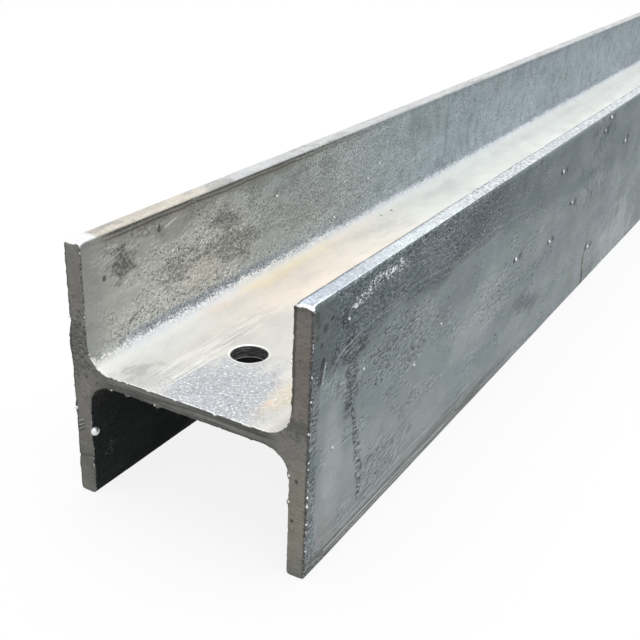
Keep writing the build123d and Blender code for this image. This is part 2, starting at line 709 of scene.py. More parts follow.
class Finish:
    """A zinc finish in the making: its material, nodes, shader, colour and height."""

    def __init__(self, name, base, metal=0.2, specular=0.4):
        self.material = bpy.data.materials.new(name)
        self.material.use_nodes = True
        self.material.diffuse_color = (*base, 1)
        self.material.node_tree.nodes.clear()
        self.m = m = Nodes(self.material.node_tree)
        self.shader = m.add(
            "ShaderNodeBsdfPrincipled", {"Metallic": metal, "Specular IOR Level": specular}
        )
        m.add("ShaderNodeOutputMaterial", {"Surface": self.shader.outputs["BSDF"]})
        objects = m.add("ShaderNodeTexCoord").outputs["Object"]
        self.place = m.scaled(m.vector("SUBTRACT", objects, (DRILLED_END, 0, 0)), 1000.0)
        self.drawn = m.vector("MULTIPLY", self.place, DRAWN_OUT)
        self.x, self.y, self.z = m.add("ShaderNodeSeparateXYZ", {"Vector": self.place}).outputs
        self.skin = self.place
        self.face, self.deep = 0.0, 0.0
        self.colour = m.mix(0.0, base, base)
        self.metal = metal
        self.shine = None
        self.height = None
        self.noises = {}

    def tint(self, colour, *factors):
        """Mixes another colour in, as much as the factors together say."""
        self.colour = self.m.mix(self.m.times(*factors), self.colour, colour)

    def shade(self, tone):
        """Makes the colour lighter or darker. Other ways to multiply overfill the renderer's memory."""
        grey = self.m.add("ShaderNodeCombineColor", {"Red": tone, "Green": tone, "Blue": tone})
        self.colour = self.m.mix(1.0, self.colour, grey.outputs["Color"], "MULTIPLY")

    def raise_by(self, height):
        """Adds to the height, in millimetres."""
        self.height = height if self.height is None else self.m.plus(self.height, height)

    def polish(self, mask):
        """Makes the zinc bare and shiny where mask is 1."""
        self.shine = mask if self.shine is None else self.m.math("MAXIMUM", self.shine, mask)

    def shared(self, size):
        """A noise about 0 of this size, made once and shared by all the marks that ask for it."""
        if size not in self.noises:
            noisy = self.m.noise(self.drawn, 1 / size)
            self.noises[size] = self.m.minus(noisy, 0.5)
        return self.noises[size]

    def on_face(self, along, up, across=None):
        """A place along and up the finish's own face, in millimetres."""
        return along, self.face if across is None else across, up

    def spot(self, centre, reach, fray=0.4, fray_size=FINE):
        """1 in a soft spot with a frayed edge, on the finish's own face if it has no place across."""
        if len(centre) == 2:
            centre, reach = self.on_face(*centre), self.on_face(*reach, self.deep)
        pull = self.m.times(self.shared(fray_size), fray * PUSH)
        return self.m.group("soft spot", place=self.place, centre=centre, reach=reach, pull=pull)["Mask"]

    def stain(self, centre, reach, colour, amount, fray=0.4, fray_size=FINE):
        """A soft spot of another colour."""
        self.tint(colour, self.spot(centre, reach, fray, fray_size), amount)

    def mark(self, start, end, width, wander=0.3, faint=0.0):
        """1 along a thin mark from one point to another, broken as much as faint says."""
        m = self.m
        if len(start) == 2:
            start, end = self.on_face(*start), self.on_face(*end)
        bend = m.times(self.shared(MIDDLE), wander * PUSH)
        strength = m.minus(self.shared(FINE), faint - WHOLE)
        return m.group(
            "scratch", place=self.place, start=start, end=end, width=width, bend=bend, strength=strength
        )["Mask"]

    def scratch(self, start, end, width, colour, amount, wander=0.3, faint=0.1):
        """A thin mark of another colour."""
        self.tint(colour, self.mark(start, end, width, wander, faint), amount)

    def scored(self, start, end, width, colour, amount, wander=0.3, faint=0.1):
        """A bright scratch with a painted shadow line under it."""
        ends = [self.on_face(*point) for point in (start, end)]
        lower = [tuple(a + b for a, b in zip(point, UNDER_SCORE)) for point in ends]
        self.scratch(*lower, width, SCORE_SHADE, amount * 0.8, wander, faint)
        self.scratch(start, end, width, colour, amount, wander, faint)

    def uneven(self, size, cloud, blotch):
        """Makes the colour uneven, and the surface with it."""
        tone = self.m.group(
            "uneven zinc", place=self.drawn, cloud_size=size, cloud_depth=cloud, blotch_depth=blotch
        )
        self.shade(tone["Tone"])
        self.raise_by(tone["Height"])

    def grain(self, gather, size, depth):
        """Gives the skin a pebbly grain, with painted light on the grains' upper sides. Depth leaves the
        marks out, whose relief would render slowly.
        """
        grain = self.m.group("zinc grain", place=self.skin, size=size, gather=gather, depth=depth)
        self.shade(grain["Tone"])
        self.raise_by(grain["Height"])

    def speckle(self, gather, size, dark, dark_amount, bright, bright_amount, shine=0.0):
        """Scatters dark pits with painted highlights on their lips, and bright grains painted as glints,
        which are as shiny as shine says.
        """
        specks = self.m.group("pits and sparkle", place=self.skin, size=size, gather=gather)
        self.tint(dark, specks["Dark"], dark_amount)
        self.tint(bright, specks["Bright"], bright_amount)
        if shine:
            self.polish(self.m.times(specks["Bright"], bright_amount, shine))

    def crowd(self, mask, size):
        """Crowds near-black pits and white grains painted as glints where mask is 1."""
        m = self.m
        self.speckle(m.times(mask, 1.5), size, BLACK, m.times(mask, 0.9), GLINT_WHITE, mask, 0.85)

    def crumbs(self):
        """1 on small crumbs, for marks that aren't solid."""
        return self.m.span(self.m.noise(self.skin, 1 / CRUMB_SIZE, 2.0, warp=0.6), 0.44, 0.53)

    def lines(self, stretch, sharp):
        """Fine lines, as long and as wide as stretch says."""
        return self.m.group("drawn lines", place=self.place, stretch=stretch, sharp=sharp)["Value"]

    def islands(self, size, low, high):
        """1 on soft islands of this size, where grains gather."""
        return self.m.span(self.shared(size), low, high)

    def most(self, *values):
        """The greatest of several values."""
        result = values[0]
        for value in values[1:]:
            result = self.m.math("MAXIMUM", result, value)
        return result

    def done(self, rough_low, rough_high):
        """Joins colour, roughness and normal to the shader."""
        m = self.m
        rough = m.span(m.noise(self.drawn, 1 / SHEEN_SIZE), 0.3, 0.7, rough_low, rough_high)
        if self.shine is not None:
            rough = m.minus(rough, m.times(self.shine, rough, 0.5))
            metallic = m.plus(m.times(self.shine, BARE_METAL - self.metal), self.metal)
            m.put(self.shader.inputs["Metallic"], metallic)
        m.put(self.shader.inputs["Base Color"], self.colour)
        m.put(self.shader.inputs["Roughness"], rough)
        bump = m.add("ShaderNodeBump", {"Height": self.height, "Distance": MM})
        m.put(self.shader.inputs["Normal"], bump.outputs["Normal"])
        return self.material


BLACK = (0.04, 0.045, 0.05)
DARK = (0.1, 0.115, 0.125)
# SCORE_SHADE is the painted shadow under bright scores, and the colour of dark scuff rings
SCORE_SHADE = (0.17, 0.19, 0.2)
# GLINT_WHITE is the colour of white grains painted as glints
GLINT_WHITE = (0.88, 0.94, 0.98)
PALE = (0.85, 0.88, 0.88)

# Black pits on the near flange by the drilled end, in millimetres: along, up, half their width and height
PITS_BY_THE_END = [
    (7.2, 89.5, 2.2, 1.8),
    (2.2, 95.4, 1.7, 2.8),
    (3.2, 92.0, 1.5, 1.5),
    (2.6, 88.4, 1.5, 2.4),
    (5.4, 84.5, 1.2, 1.2),
    (11.5, 91.5, 1.2, 1.0),
]

# The score along the near flange's band, in millimetres: from, to, half width, amount and how broken it is
SCORES_ALONG_THE_BAND = [
    ((15.3, 75.3), (19.6, 77.4), 0.4, 0.6, -0.02),
    ((19.6, 77.4), (31, 79.4), 0.4, 0.65, -0.02),
    ((20.5, 75.8), (28, 77), 0.35, 0.55, 0.02),
    ((31, 79.4), (51, 80.5), 0.35, 0.35, 0.14),
    ((42, 79), (60, 79.6), 0.35, 0.3, 0.14),
    ((51, 80.5), (74, 82), 0.35, 0.3, 0.15),
    ((74, 82), (111, 78), 0.4, 0.28, 0.15),
    ((108, 78), (149, 80), 0.4, 0.35, 0.12),
    ((113, 75), (160, 76.5), 0.4, 0.3, 0.14),
    ((149, 80), (201, 76), 0.4, 0.25, 0.12),
]


def outer_zinc():
    """The outer faces of the flanges: blue-grey, with a dark grainy band under the upper edge."""
    f = Finish("outer_zinc", (0.415, 0.485, 0.512), 0.12, 0.25)
    m = f.m
    f.skin = f.drawn
    f.face, f.deep = NEAR_FACE, 9
    f.tint((0.5, 0.57, 0.56), f.islands(BROAD, -0.05, 0.08), 0.7)
    f.stain((50, 20), (80, 30), (0.57, 0.625, 0.63), 0.7, 0.25, BROAD)
    f.stain((15, 38), (9, 30), (0.67, 0.725, 0.71), 0.9, 0.2, MIDDLE)
    f.stain((142, 40), (32, 17), (0.59, 0.645, 0.67), 0.7, 0.4, MIDDLE)
    f.stain((50, 62), (36, 18), (0.33, 0.385, 0.4), 0.45, 0.5, MIDDLE)
    f.stain((118, 62), (28, 11), (0.34, 0.39, 0.41), 0.4, 0.5, MIDDLE)
    f.stain((372, 6), (60, 36), (0.8, 0.88, 0.88), 0.7, 0.4, MIDDLE)
    purplish = f.spot((13, 11), (10, 10), 0.3, MIDDLE)
    f.tint((0.57, 0.56, 0.565), purplish, 0.8)

    # Soft runs of zinc, bluish and greenish, further along
    runs = f.lines((10.0, 10.0, 70.0), 0.6)
    further = m.span(f.x, 180, 280)
    f.tint((0.5, 0.545, 0.605), m.span(runs, 0.5, 0.9), further, 0.5)
    f.tint((0.4, 0.46, 0.445), m.span(runs, 0.5, 0.1), further, 0.5)

    # The dark band under the upper edge, narrowest in the middle, rough by the drilled end, then smooth
    before = m.times(m.minus(110.0, f.x), 0.05)
    beyond = m.times(m.minus(m.math("MINIMUM", f.x, 370.0), 110.0), 0.07)
    ripple = m.plus(m.times(f.shared(BROAD), 26.0), m.math("MAXIMUM", before, beyond))
    band = m.span(m.plus(f.z, ripple), 73.4, 83.4)
    band_colour = m.mix(m.span(f.x, 120, 210), (0.105, 0.145, 0.175), (0.24, 0.295, 0.325))
    f.tint(band_colour, band, 0.74)
    f.stain((120, 97), (85, 17), (0.07, 0.09, 0.11), 0.25, 0.5, MIDDLE)
    corner = f.spot((5, 88), (13, 18), 0.3, MIDDLE)
    f.tint((0.21, 0.255, 0.245), corner, 0.85)

    # Short dark strokes further along
    strokes = f.lines((2.2, 4.0, 6.0), 0.9)
    drained = m.times(m.span(f.x, 262, 285), m.span(f.x, 345, 320), m.span(f.z, 46, 58))
    f.tint((0.13, 0.16, 0.18), m.span(strokes, 0.7, 0.9), drained, 0.8)

    # The ragged dark mark that runs down the face by the drilled end
    crumbs = f.crumbs()
    upper_mark = f.most(
        f.mark((19, 90), (24.5, 80), 3.4, 2.0, -0.02),
        f.mark((25, 80), (26.5, 55), 5.4, 2.4, -0.04),
        f.spot((32.5, 74.5), (7, 5), 0.9),
    )
    lower_mark = f.most(
        f.mark((27, 57), (32, 37.5), 2.2, 2.0, 0.03),
        f.mark((32, 39), (35.4, 24), 3.2, 2.0, 0.0),
        f.mark((35.2, 25), (36, 12), 2.2, 2.0, 0.05),
    )
    ragged = f.most(upper_mark, lower_mark)
    f.tint((0.2, 0.235, 0.255), upper_mark, 0.35)
    f.tint((0.06, 0.072, 0.08), ragged, crumbs, 0.95)

    # Pits and strokes by the drilled end, a smudge and a wavy line further along
    f.scratch((6.4, 78.5), (4.8, 72), 1.7, BLACK, 1.0, 0.6, -0.1)
    f.scratch((8.3, 77.5), (6.6, 70.5), 0.5, PALE, 0.8, 0.3, -0.05)
    f.scratch((15.5, 79), (12.6, 75.5), 1.7, BLACK, 0.85, 1.2, 0.0)
    for along, up, wide, tall in PITS_BY_THE_END:
        f.stain((along, up), (wide, tall), BLACK, 0.95, 0.5)
    for along, up, amount in ((195, 30.5, 0.6), (206, 26.5, 0.8), (218, 22.5, 0.6)):
        f.stain((along, up), (13, 5.5), (0.2, 0.24, 0.265), amount, 0.8)
    for start, end in (((311, 0.5), (307.5, 9)), ((307, 8), (305, 17)), ((305, 16), (307, 25))):
        f.scratch(start, end, 2.4, BLACK, 0.85, 4.0, 0.02)
    # Painted shade beside the first drops on the near flange: a dark patch to one side and a smaller one
    # behind
    for along, up, _ in DROPS_ON_NEAR_FLANGE[:8]:
        f.stain((along + 6.0, up - 0.6), (3.4, 3.0), BLACK, 0.8, 0.9)
        f.stain((along - 2.0, up), (2.4, 1.6), BLACK, 0.85, 0.5)

    # Slanting strokes beside the lower end of the ragged mark
    rise, run = 0.41, 0.91
    along = m.plus(m.times(f.x, run), m.times(f.z, rise))
    across = m.minus(m.times(f.z, run), m.times(f.x, rise))
    slanted = m.add("ShaderNodeCombineXYZ", {"X": along, "Z": across}).outputs[0]
    slants = m.group("drawn lines", place=slanted, stretch=(9.0, 9.0, 0.9), sharp=0.9)["Value"]
    scuffed = f.spot((56, 20), (26, 16), 0.5, MIDDLE)
    f.tint((0.17, 0.205, 0.22), scuffed, m.span(slants, 0.68, 0.92), 0.75)
    f.tint((0.66, 0.71, 0.71), scuffed, m.span(slants, 0.3, 0.1), 0.45)

    # The strip along the lower edge is greener and scraped
    low = m.span(m.plus(f.z, m.times(f.shared(MIDDLE), 3.0)), 7, 5)
    f.tint((0.33, 0.34, 0.3), low, m.span(f.x, 300, 60), 0.8)
    scrapes = f.lines((60.0, 1.0, 0.9), 0.9)
    scraped = m.times(m.span(f.z, 16, 5), m.span(f.x, 260, 120))
    f.tint((0.18, 0.195, 0.19), scraped, m.span(scrapes, 0.6, 0.9), 0.7)
    f.tint((0.72, 0.75, 0.73), scraped, m.span(scrapes, 0.35, 0.1), 0.6)

    # Curved scuffs near the drilled end
    radius = m.vector("LENGTH", m.vector("SUBTRACT", f.place, f.on_face(38.0, 60.0)))
    ring_place = m.add("ShaderNodeCombineXYZ", {"X": radius, "Y": m.times(f.z, 0.07)}).outputs[0]
    rings = m.noise(ring_place, 1.0, 2.0)
    curved = f.spot((14, 71), (8, 9), 0.5, FINE)
    f.tint(SCORE_SHADE, curved, m.span(rings, 0.45, 0.38), 0.6)
    f.tint(PALE, curved, m.span(rings, 0.56, 0.63), 0.5)

    # Where the skin is rough, and where it is calm
    by_end = m.span(f.x, 6.5, 3.5)
    f.tint((0.17, 0.195, 0.2), by_end, 0.5)
    calm = m.minus(1.0, f.spot((15, 32), (9, 34), 0.2, MIDDLE))
    islands = m.times(f.islands(13.0, 0.0, 0.12), m.span(f.x, 330, 220, 0.25, 0.75))
    grainy = f.most(
        islands,
        f.spot((64, 62), (38, 21), 0.5, MIDDLE),
        m.times(f.spot((165, 46), (50, 17), 0.5, MIDDLE), 0.8),
    )
    rough_band = m.times(band, m.span(f.x, 215, 130, 0.06, 0.9))
    gather = f.most(
        m.times(grainy, calm), rough_band, by_end, ragged, m.times(scuffed, 0.6), m.times(low, 0.6)
    )
    quiet = m.math("MAXIMUM", m.times(corner, 0.7), m.times(purplish, 0.9))
    gather = m.times(gather, m.minus(1.0, quiet))
    f.uneven(40.0, 0.06, 0.05)
    f.grain(m.plus(m.times(gather, 0.75), 0.07), 1.2, 0.1)
    f.speckle(gather, 1.0, BLACK, 0.9, (0.68, 0.74, 0.77), 0.6, 0.35)

    # Bright grains painted as glints, and black grains, that crowd together
    f.crowd(f.mark((27, 92), (60, 94.4), 3.8, 2.4, 0.0), 0.95)
    f.crowd(m.times(f.spot((48, 92), (34, 9), 0.9), 0.35), 0.95)
    f.crowd(m.times(f.spot((95, 95), (50, 6), 0.8), 0.55), 0.95)
    f.crowd(m.times(upper_mark, 0.4), 0.95)

    # One broken score runs along the band from the corner, with a second one under its far part. Each score
    # has a painted shadow under it
    for start, end, width, amount, faint in SCORES_ALONG_THE_BAND:
        f.scored(start, end, width, PALE, amount, 0.6, faint)
    f.scored((13, 4.2), (60, 4.5), 0.75, PALE, 1.0, 0.2, -0.05)
    f.scored((58, 4.5), (112, 3.8), 0.7, PALE, 0.8, 0.3, 0.02)
    f.scored((12, 6.5), (48, 8), 0.45, PALE, 0.6)
    f.scored((16, 9), (75, 11), 0.45, PALE, 0.6, 0.4)
    f.scored((12, 14.5), (30, 15.5), 0.45, PALE, 0.6, 0.4)
    f.scored((34, 13.5), (110, 9), 0.5, PALE, 0.5, 0.4)
    return f.done(0.42, 0.62)


def channel_zinc():
    """Inside the upper channel: mottled grey walls, a bluish line of painted shade along the fillets, and
    the pale web.
    """
    f = Finish("channel_zinc", (0.585, 0.59, 0.555))
    m = f.m
    f.face, f.deep = FAR_WALL, 12
    f.tint((0.43, 0.475, 0.475), m.span(f.x, 65, 120))
    f.tint((0.405, 0.47, 0.515), m.span(f.x, 140, 330))
    f.tint((0.39, 0.405, 0.395), m.span(f.x, 14, 3), 0.5)

    # Marks on the far wall, seen in the photo
    crumbs = f.crumbs()
    blotch = f.spot((21, 85.5), (8.5, 9), 0.5)
    f.tint((0.2, 0.2, 0.185), blotch, 0.6)
    f.tint((0.1, 0.1, 0.095), blotch, crumbs, 0.75)
    f.tint((0.16, 0.155, 0.13), f.spot((31, 94), (24, 5), 0.8, MIDDLE), crumbs, 0.6)
    f.stain((100, 97), (68, 12), (0.2, 0.22, 0.215), 0.55, 0.8, MIDDLE)
    smooth_patch = f.spot((51, 89.5), (14, 8), 0.5, MIDDLE)
    f.tint((0.37, 0.38, 0.355), smooth_patch, 0.7)
    dark_patch = f.spot((84, 74), (22, 12), 0.9, MIDDLE)
    f.tint((0.23, 0.24, 0.225), dark_patch, 0.5)
    f.tint((0.11, 0.115, 0.11), dark_patch, crumbs, 0.6)
    dark_patch = f.spot((52, 73), (13, 7), 0.9)
    f.tint((0.3, 0.3, 0.275), dark_patch, 0.4)
    f.tint((0.13, 0.13, 0.12), dark_patch, crumbs, 0.5)
    f.stain((60, 60), (24, 5), (0.38, 0.38, 0.35), 0.5, 0.9)
    f.stain((150, 76), (45, 14), (0.28, 0.31, 0.31), 0.5, 0.8, MIDDLE)
    f.stain((250, 84), (60, 12), (0.29, 0.33, 0.35), 0.5, 0.8, BROAD)
    f.stain((11, 82.6), (1.3, 1.3), DARK, 0.9, 0.3)
    f.scratch((31.6, 65.5), (22.5, 61), 0.8, (0.13, 0.13, 0.12), 0.75, 3.5, 0.12)
    f.scratch((44.5, 91.8), (51, 93.4), 0.6, (0.86, 0.87, 0.85), 0.9, 0.2, -0.2)
    f.stain((41, 92.2), (1.0, 2.2), (0.09, 0.09, 0.08), 0.9, 0.5)

    # Two thin dark lines with an olive tone between, under the far toe
    edge = m.plus(f.z, m.times(f.shared(MIDDLE), 2.0))
    browned = m.times(m.span(f.y, -1, 1), m.span(f.x, 6, 18), m.span(f.x, 260, 120))
    f.tint((0.27, 0.255, 0.2), m.span(edge, 93, 95.5), browned, 0.5)
    f.tint((0.1, 0.09, 0.07), m.span(edge, 95.6, 96), m.span(edge, 96.8, 96.4), browned, 0.75)
    f.tint((0.07, 0.06, 0.045), m.span(edge, 97.2, 97.6), browned, 0.9)
    f.tint((0.17, 0.18, 0.175), m.span(f.z, 95, 98), m.span(f.y, -1, 1), 0.4)
    runs = f.lines((7.0, 7.0, 14.0), 0.7)
    drained = m.times(m.span(f.x, 150, 260), 0.5)
    f.tint((0.25, 0.29, 0.32), m.span(runs, 0.6, 0.95), drained)
    f.tint((0.5, 0.55, 0.6), m.span(runs, 0.4, 0.05), drained, 0.7)

    # The web: cream in the middle, white further along, greyish by the hole, bluish by the drilled end
    web = m.mix(m.span(f.x, 120, 270), (0.925, 0.84, 0.745), (0.815, 0.835, 0.8))
    smudged = m.times(f.islands(BROAD, -0.02, 0.1), m.span(f.x, 160, 280), 0.45)
    web = m.mix(smudged, web, (0.75, 0.755, 0.735))
    web = m.mix(m.times(m.span(f.x, 95, 30), 0.85), web, (0.745, 0.74, 0.71))
    web = m.mix(m.times(f.spot((58, -3, 52), (50, 26, 30), 0.4, MIDDLE), 0.95), web, (0.685, 0.67, 0.635))
    bluish = f.spot((14, -7, 52), (36, 29, 30), 0.3, MIDDLE)
    web = m.mix(m.times(bluish, 0.92), web, (0.45, 0.47, 0.51))
    foot = m.times(m.span(f.y, 22, 30), m.span(f.x, 120, 10))
    web = m.mix(m.times(foot, 0.75), web, (0.89, 0.9, 0.88))
    on_web = m.span(f.z, 56, 53.4)
    f.tint(web, on_web)
    f.stain((2, 20, 52), (16, 13, 6), (0.6, 0.605, 0.605), 0.7, 0.6, MIDDLE)
    f.stain((115, 35, 53), (52, 7, 6), (0.93, 0.83, 0.63), 0.75, 0.5, MIDDLE)
    f.stain((26, -25, 52), (22, 8, 6), (0.8, 0.72, 0.575), 0.75, 0.5, MIDDLE)
    f.stain((15, -24, 52), (3.4, 2.2, 6), (0.88, 0.68, 0.57), 0.5, 0.6)
    f.stain((80, -27, 52), (26, 10, 6), (0.84, 0.755, 0.68), 0.4, 0.5, MIDDLE)
    f.stain((65, 37, 54), (16, 5, 6), (0.82, 0.73, 0.68), 0.5, 0.5, MIDDLE)
    f.stain((9, 25, 52), (9, 5, 6), (0.47, 0.47, 0.46), 0.5, 1.0)
    f.stain((221, 33.6, 53), (1.6, 1.4, 2), DARK, 0.8, 0.3)
    f.stain((210, 33.9, 53), (1.3, 1.2, 2), DARK, 0.8, 0.3)
    f.stain((200, 23, 52), (20, 7, 4), (0.68, 0.68, 0.65), 0.4, 1.0)
    f.stain((200, -30, 52), (60, 12, 4), (0.72, 0.75, 0.72), 0.6, 0.6, MIDDLE)

    # Rolling marks along the web beside the hole
    drag = f.lines((24.0, 0.8, 3.0), 0.9)
    lane = m.times(m.span(f.y, 10.5, 13.5), m.span(f.y, 23, 18.5), m.span(f.x, 85, 55), on_web)
    patchy = m.held(m.plus(f.islands(FINE, -0.1, 0.12), 0.3))
    f.tint((0.55, 0.54, 0.52), lane, patchy, m.span(drag, 0.6, 0.9), 0.6)
    f.tint((0.95, 0.945, 0.93), lane, patchy, m.span(drag, 0.55, 0.2), 0.8)
    f.scratch((5, 15, 52), (58, 13.5, 52), 0.35, (0.5, 0.47, 0.45), 0.6, 0.3, 0.05)
    f.scratch((8, 12, 52), (50, 11.5, 52), 0.35, (0.5, 0.48, 0.46), 0.5, 0.3, 0.05)
    f.scratch((6, 11.2, 52), (44, 10.7, 52), 0.35, (0.95, 0.95, 0.93), 0.6, 0.3, 0.02)
    # A painted highlight ringing the hole on the web
    from_hole = m.vector("MULTIPLY", m.vector("SUBTRACT", f.place, (42.0, 2.0, 0.0)), (1.0, 1.0, 0.0))
    rim = m.span(m.vector("LENGTH", from_hole), 8.0, 7.6)
    f.tint((0.97, 0.97, 0.96), rim, on_web, 0.8)

    # The bluish line of painted shade along the steep part of the fillets, and below it the fillets with a
    # painted highlight and painted glints
    wavy = m.plus(f.z, m.times(f.shared(MIDDLE), 3.0))
    side = m.math("ABSOLUTE", f.y)
    fillet_highlight = m.times(m.span(side, 35, 38), m.span(wavy, 56.6, 55.2))
    f.tint((0.79, 0.83, 0.875), fillet_highlight, m.span(f.x, 4, 20), 0.6)
    line = m.times(m.span(wavy, 55, 55.9), m.span(wavy, 59, 57.6))
    f.tint((0.24, 0.275, 0.34), line, m.span(f.x, 6, 35), m.span(f.x, 150, 90), 0.72)
    f.tint((0.34, 0.38, 0.43), line, m.span(f.x, 90, 150), 0.4)

    off_web = m.minus(1.0, on_web)
    rough_wall = f.most(
        m.times(f.islands(13.0, -0.04, 0.08), 0.8),
        f.spot((74, 78), (66, 22), 0.5, MIDDLE),
        f.spot((60, 60), (80, 7), 0.8),
        m.times(m.span(f.x, 110, 150), m.span(f.x, 300, 190, 0.3, 0.9)),
    )
    calm = m.minus(1.0, m.times(smooth_patch, 0.85))
    crust = m.times(m.span(wavy, 54, 55.2), m.span(wavy, 61, 57), m.span(f.x, 2, 30, 0.35, 0.8))
    gather = f.most(
        m.times(rough_wall, calm, off_web, m.span(f.x, 4, 16)), crust, m.times(bluish, on_web, 0.95)
    )
    cloud = m.times(m.plus(off_web, 0.25), 0.05)
    f.uneven(40.0, cloud, m.times(m.plus(off_web, 0.4), 0.05))
    quiet = m.plus(m.times(off_web, 0.08), 0.03)
    gather_tone = m.plus(m.times(gather, m.plus(m.times(off_web, 0.3), 0.26)), quiet)
    f.grain(gather_tone, 1.4, m.span(f.z, 53.4, 56, 0.08, 0.3))
    dark_amount = m.minus(0.85, m.times(on_web, 0.55))
    f.speckle(m.times(gather, 0.95), 1.25, (0.1, 0.1, 0.095), dark_amount, (0.85, 0.87, 0.88), 0.6, 0.15)
    # White glints painted on the bluish web and the fillets, and along the foot of the fillet line
    sparkle = m.noise(f.place, 1 / 1.0, 1.0, 0.5)
    glinting = f.most(m.times(bluish, 0.9), m.times(fillet_highlight, 0.5))
    glints = m.times(m.span(sparkle, 0.6, 0.66), on_web, glinting)
    f.tint((0.97, 0.98, 1.0), glints)
    foot_of_line = m.times(m.span(wavy, 54.4, 55.2), m.span(wavy, 57, 56), m.span(f.x, 200, 120))
    f.tint((0.97, 0.98, 1.0), m.span(sparkle, 0.54, 0.6), foot_of_line, 0.9)
    # Bright hairlines, each with a painted shadow under it
    for start, end in (((5, 90.5), (14, 91.5)), ((6, 88.5), (16, 90.5)), ((9, 87), (20, 90))):
        f.scored(start, end, 0.4, (0.8, 0.81, 0.8), 0.6)
    return f.done(0.42, 0.62)


def painted_shade_under_zinc():
    """Inside the lower channel: nearly black, painted shade under the web, with a few bright grains."""
    f = Finish("painted_shade_under_zinc", (0.05, 0.058, 0.056), 0.05, 0.1)
    m = f.m
    f.uneven(30.0, 0.1, 0.1)
    f.grain(m.plus(m.times(m.span(f.x, 26, 4), 0.5), 0.2), 1.6, 0.3)
    crust = f.spot((3, 41.5, 42), (9, 9, 8), 0.6)
    f.tint((0.16, 0.15, 0.125), crust, f.crumbs(), 0.7)
    grains = m.times(f.islands(MIDDLE, 0.1, 0.2), m.span(f.x, 40, 10))
    few = f.most(f.spot((9, 41.5, 15), (5, 9, 7), 0.8), grains)
    f.speckle(m.times(few, 0.9), 1.3, (0.02, 0.02, 0.02), 0.5, (0.6, 0.62, 0.63), m.times(few, 0.7))
    return f.done(0.65, 0.8)


def toe_zinc():
    """The flange toes: bluish grains on the near flange, tan on the far one, white at the drilled end."""
    f = Finish("toe_zinc", (0.5, 0.555, 0.625), 0.3)
    m = f.m
    far = m.span(f.y, -1, 1)
    near = m.minus(1.0, far)
    f.tint((0.61, 0.665, 0.705), m.span(f.x, 15, 60))
    f.tint((0.56, 0.57, 0.58), far)
    f.tint((0.6, 0.555, 0.485), far, m.span(f.x, 95, 60))
    f.tint((0.36, 0.36, 0.34), far, f.islands(MIDDLE, 0.02, 0.12), 0.7)
    f.tint((0.86, 0.88, 0.9), far, m.span(f.x, 9.5, 7), 0.9)
    f.tint((0.9, 0.92, 0.93), m.span(f.x, 1.9, 0.9))
    # On the near toe: a painted highlight along the outer edge and a painted shade line along the inner edge
    across = m.plus(m.math("ABSOLUTE", f.y), m.times(f.shared(FINE), 1.4))
    f.tint((0.95, 0.97, 1.0), near, m.span(across, 47.3, 47.6), 0.8)
    f.tint((0.13, 0.145, 0.155), near, m.span(across, 43.3, 42.9), 0.8)
    f.uneven(20.0, 0.04, 0.05)
    f.grain(m.plus(m.times(near, 0.2), 0.18), 1.3, 0.2)
    crowded = m.times(near, m.span(f.x, 50, 150, 0.2, 1.0))
    f.speckle(m.plus(crowded, 0.3), 1.5, (0.13, 0.15, 0.185), 0.7, (0.98, 0.99, 1.0), 1.0, 0.9)
    return f.done(0.38, 0.55)


